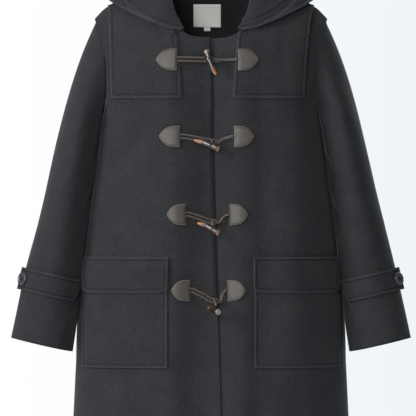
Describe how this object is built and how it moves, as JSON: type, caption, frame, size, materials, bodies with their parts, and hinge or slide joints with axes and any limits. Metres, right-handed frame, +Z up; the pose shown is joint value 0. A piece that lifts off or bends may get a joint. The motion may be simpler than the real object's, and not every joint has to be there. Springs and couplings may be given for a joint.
{
  "type": "duffle coat",
  "caption": "Hooded duffle coat of thick dark wool, filled out with no wearer, with horn toggles on leather loops, chest storm flaps, flap pockets and cuff tabs.",
  "frame": {"origin": "on the coat's middle plane, on the axis of the neck, at the height of the back neck seam, between the shoulders that hold the coat up", "axes": "+Z up, the front faces -Y, +X towards the wearer's left"},
  "size_m": [0.7238, 0.3663, 0.9419],
  "materials": {
    "wool_cloth": "matte milled wool",
    "leather_patch": "matte",
    "leather_cord": "satin",
    "horn": "polished",
    "button": "satin",
    "label_cloth": "matte"
  },
  "bodies": {
    "root": {"back": "wool_cloth", "front_left": "wool_cloth", "front_right": "wool_cloth", "yoke_left": "wool_cloth", "sleeve_upper_left": "wool_cloth", "sleeve_under_left": "wool_cloth", "hood_left": "wool_cloth", "pocket_left": "wool_cloth", "pocket_flap_left": "wool_cloth", "cuff_tab_left": "wool_cloth", "cuff_button_left": "button", "yoke_right": "wool_cloth", "sleeve_upper_right": "wool_cloth", "sleeve_under_right": "wool_cloth", "hood_right": "wool_cloth", "pocket_right": "wool_cloth", "pocket_flap_right": "wool_cloth", "cuff_tab_right": "wool_cloth", "cuff_button_right": "button", "patch_left_1": "leather_patch", "patch_right_1": "leather_patch", "toggle_loop_1": "leather_cord", "toggle_cord_1": "leather_cord", "toggle_1": "horn", "patch_left_2": "leather_patch", "patch_right_2": "leather_patch", "toggle_loop_2": "leather_cord", "toggle_cord_2": "leather_cord", "toggle_2": "horn", "patch_left_3": "leather_patch", "patch_right_3": "leather_patch", "toggle_loop_3": "leather_cord", "toggle_cord_3": "leather_cord", "toggle_3": "horn", "patch_left_4": "leather_patch", "patch_right_4": "leather_patch", "toggle_loop_4": "leather_cord", "toggle_cord_4": "leather_cord", "toggle_4": "horn", "neck_label": "label_cloth", "size_tab": "label_cloth"}
  },
  "joints": []
}
